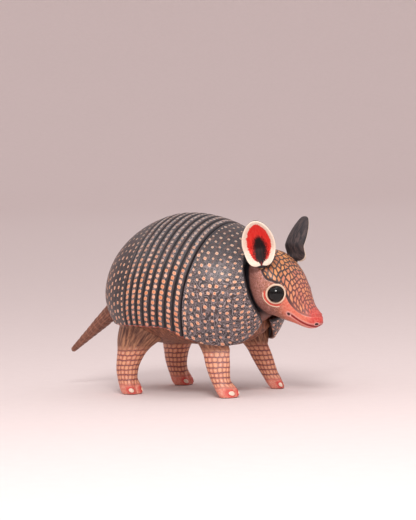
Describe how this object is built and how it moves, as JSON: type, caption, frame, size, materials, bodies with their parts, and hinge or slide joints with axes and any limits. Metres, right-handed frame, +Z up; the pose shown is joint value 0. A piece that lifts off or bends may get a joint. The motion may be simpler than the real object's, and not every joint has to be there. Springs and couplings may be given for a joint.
{
  "type": "painted wooden armadillo figure",
  "caption": "Carved wooden armadillo figure with a banded, dotted shell cap, glued legs and head, and ears and a tail that plug in on pegs.",
  "frame": {"origin": "centre of the footprint on the ground under the four feet", "axes": "+X towards the nose, +Y towards the animal's left, +Z up; the soles stand on z = 0"},
  "size_m": [0.1168, 0.0586, 0.0676],
  "materials": {
    "body_paint": "matte acrylic paint on copal wood, thin clear coat",
    "shell_paint": "charcoal acrylic paint with peach and cream dots, thin clear coat",
    "head_paint": "rose and orange acrylic paint, thin clear coat",
    "eye_lacquer": "glossy black lacquer",
    "ear_paint": "red and cream acrylic paint inside, dark grey outside",
    "leg_paint": "brown, peach and coral acrylic paint, thin clear coat",
    "tail_paint": "brown acrylic paint, thin clear coat",
    "bare_wood": "bare turned wood"
  },
  "bodies": {
    "figure": {"trunk": "body_paint", "carapace": "shell_paint", "carapace_pegs": "bare_wood", "head": "head_paint", "neck_dowel": "bare_wood", "eye_right": "eye_lacquer", "eye_left": "eye_lacquer", "leg_front_right": "leg_paint", "leg_front_left": "leg_paint", "leg_hind_right": "leg_paint", "leg_hind_left": "leg_paint", "leg_dowels": "bare_wood"},
    "ear_plug_right": {"ear_peg_right": "bare_wood"},
    "ear_right": {"ear_right": "ear_paint"},
    "ear_plug_left": {"ear_peg_left": "bare_wood"},
    "ear_left": {"ear_left": "ear_paint"},
    "tail_plug": {"tail_peg": "bare_wood"},
    "tail": {"tail": "tail_paint"}
  },
  "joints": [
    {"name": "ear_right_pull", "type": "slide", "parent": "figure", "child": "ear_plug_right", "axis": [0.0969, -0.3746, 0.9221], "range_m": [0, 0.012]},
    {"name": "ear_right_turn", "type": "hinge", "parent": "ear_plug_right", "child": "ear_right", "pos_m": [0.03954, -0.0097, 0.0482], "axis": [0.0969, -0.3746, 0.9221], "range_deg": [-30, 30]},
    {"name": "ear_left_pull", "type": "slide", "parent": "figure", "child": "ear_plug_left", "axis": [0.0969, 0.3746, 0.9221], "range_m": [0, 0.012]},
    {"name": "ear_left_turn", "type": "hinge", "parent": "ear_plug_left", "child": "ear_left", "pos_m": [0.03954, 0.0097, 0.0482], "axis": [0.0969, 0.3746, 0.9221], "range_deg": [-30, 30]},
    {"name": "tail_pull", "type": "slide", "parent": "figure", "child": "tail_plug", "axis": [-0.7944, 0, -0.6074], "range_m": [0, 0.018]},
    {"name": "tail_turn", "type": "hinge", "parent": "tail_plug", "child": "tail", "pos_m": [-0.02826, 0, 0.0368], "axis": [-0.7944, 0, -0.6074], "continuous": true}
  ]
}
